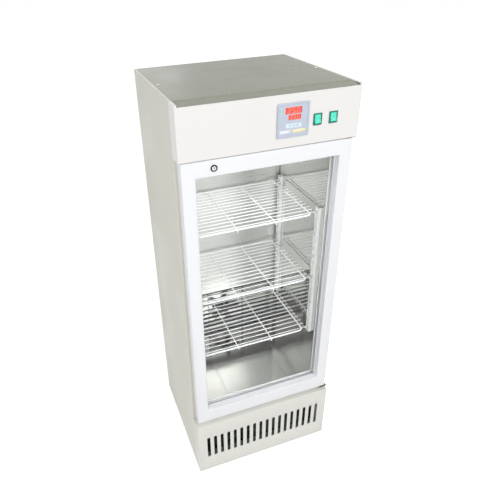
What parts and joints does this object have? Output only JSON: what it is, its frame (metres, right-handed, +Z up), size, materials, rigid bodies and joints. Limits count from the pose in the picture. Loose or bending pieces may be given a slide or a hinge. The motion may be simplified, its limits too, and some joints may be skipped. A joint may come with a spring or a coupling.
{
  "type": "upright laboratory incubator",
  "caption": "Upright laboratory incubator with a side-hung glass door, wire shelves, a control hood above and a slotted plinth below.",
  "frame": {"origin": "on the ground under the middle of the cabinet's bounding box", "axes": "+X to the right seen from the door, +Y from the door towards the back, +Z up"},
  "size_m": [0.554, 0.517, 1.4816],
  "materials": {
    "cream_steel": "satin",
    "grey_steel": "satin",
    "pan_steel": "matt",
    "stainless": "bright brushed",
    "white_plastic": "gloss",
    "foam": "matt foam",
    "black_plastic": "matt",
    "copper": "bright",
    "aluminium": "satin",
    "zinc": "bright",
    "white_coating": "gloss",
    "opal_plastic": "satin",
    "bezel_plastic": "satin",
    "display": "gloss",
    "key_plastic": "matt",
    "green_plastic": "gloss",
    "glass": "clear",
    "gasket_rubber": "matt",
    "foot_rubber": "matt",
    "brass": "satin"
  },
  "bodies": {
    "cabinet": {"base_frame": "pan_steel", "foot_pads": "foot_rubber", "side_panel_right": "cream_steel", "side_panel_left": "cream_steel", "back_panel": "cream_steel", "top_cover": "grey_steel", "top_cover_screws": "zinc", "hood": "cream_steel", "vent_panel": "cream_steel", "throat_frame": "white_plastic", "insulation": "foam", "machine_deck": "pan_steel", "liner_right": "stainless", "liner_left": "stainless", "liner_floor": "stainless", "liner_ceiling": "stainless", "liner_back": "stainless", "duct_plate": "stainless", "return_grille": "black_plastic", "evaporator_plate": "aluminium", "evaporator_tube": "copper", "heater": "stainless", "temperature_probe": "stainless", "circulation_fan_motor": "zinc", "condenser_fan_motor": "zinc", "compressor": "pan_steel", "compressor_mounts": "foot_rubber", "condenser": "pan_steel", "pilasters": "white_coating", "shelf_bearers": "stainless", "lamp_housing": "white_plastic", "lamp_cover": "opal_plastic", "controller_case": "black_plastic", "controller_bezel": "bezel_plastic", "controller_displays": "display", "hinge_brackets": "pan_steel", "cable_gland": "black_plastic", "switch_housing_power": "black_plastic", "switch_housing_lamp": "black_plastic"},
    "door": {"door_frame": "white_plastic", "glazing_bead": "white_plastic", "outer_glass": "glass", "inner_glass": "glass", "glass_spacer": "aluminium", "door_gasket": "gasket_rubber", "lock_housing": "zinc", "hinge_bushes": "brass"},
    "lock": {"lock_plug": "brass", "lock_cam": "zinc"},
    "shelf_lower": {"shelf_lower": "white_coating"},
    "shelf_middle": {"shelf_middle": "white_coating"},
    "shelf_upper": {"shelf_upper": "white_coating"},
    "circulation_fan": {"circulation_fan": "black_plastic"},
    "condenser_fan": {"condenser_fan": "black_plastic"},
    "rocker_power": {"switch_rocker_power": "green_plastic"},
    "rocker_lamp": {"switch_rocker_lamp": "green_plastic"},
    "key_1": {"controller_key_1": "key_plastic"},
    "key_2": {"controller_key_2": "key_plastic"},
    "key_3": {"controller_key_3": "key_plastic"},
    "key_4": {"controller_key_4": "key_plastic"}
  },
  "joints": [
    {"name": "door_hinge", "type": "hinge", "parent": "cabinet", "child": "door", "pos_m": [0.261, -0.2315, 0.7995], "axis": [0, 0, 1], "range_deg": [0, 110]},
    {"name": "lock_turn", "type": "hinge", "parent": "door", "child": "lock", "pos_m": [-0.173, -0.2455, 1.2945], "axis": [0, 1, 0], "range_deg": [0, 90]},
    {"name": "shelf_lower_slide", "type": "slide", "parent": "cabinet", "child": "shelf_lower", "axis": [0, -1, 0], "range_m": [0, 0.04]},
    {"name": "shelf_middle_slide", "type": "slide", "parent": "cabinet", "child": "shelf_middle", "axis": [0, -1, 0], "range_m": [0, 0.04]},
    {"name": "shelf_upper_slide", "type": "slide", "parent": "cabinet", "child": "shelf_upper", "axis": [0, -1, 0], "range_m": [0, 0.04]},
    {"name": "circulation_fan_spin", "type": "hinge", "parent": "cabinet", "child": "circulation_fan", "pos_m": [0, 0.1825, 0.436], "axis": [0, 1, 0], "continuous": true},
    {"name": "condenser_fan_spin", "type": "hinge", "parent": "cabinet", "child": "condenser_fan", "pos_m": [-0.12, -0.1555, 0.14], "axis": [0, 1, 0], "continuous": true},
    {"name": "rocker_power_tilt", "type": "hinge", "parent": "cabinet", "child": "rocker_power", "pos_m": [0.1385, -0.2485, 1.394], "axis": [1, 0, 0], "range_deg": [0, 20]},
    {"name": "rocker_lamp_tilt", "type": "hinge", "parent": "cabinet", "child": "rocker_lamp", "pos_m": [0.189, -0.2485, 1.394], "axis": [1, 0, 0], "range_deg": [0, 20]},
    {"name": "key_1_press", "type": "slide", "parent": "cabinet", "child": "key_1", "axis": [0, 1, 0], "range_m": [0, 0.001], "stiffness_N_per_m": 400, "springref_m": -0.0005},
    {"name": "key_2_press", "type": "slide", "parent": "cabinet", "child": "key_2", "axis": [0, 1, 0], "range_m": [0, 0.001], "stiffness_N_per_m": 400, "springref_m": -0.0005},
    {"name": "key_3_press", "type": "slide", "parent": "cabinet", "child": "key_3", "axis": [0, 1, 0], "range_m": [0, 0.001], "stiffness_N_per_m": 400, "springref_m": -0.0005},
    {"name": "key_4_press", "type": "slide", "parent": "cabinet", "child": "key_4", "axis": [0, 1, 0], "range_m": [0, 0.001], "stiffness_N_per_m": 400, "springref_m": -0.0005}
  ]
}
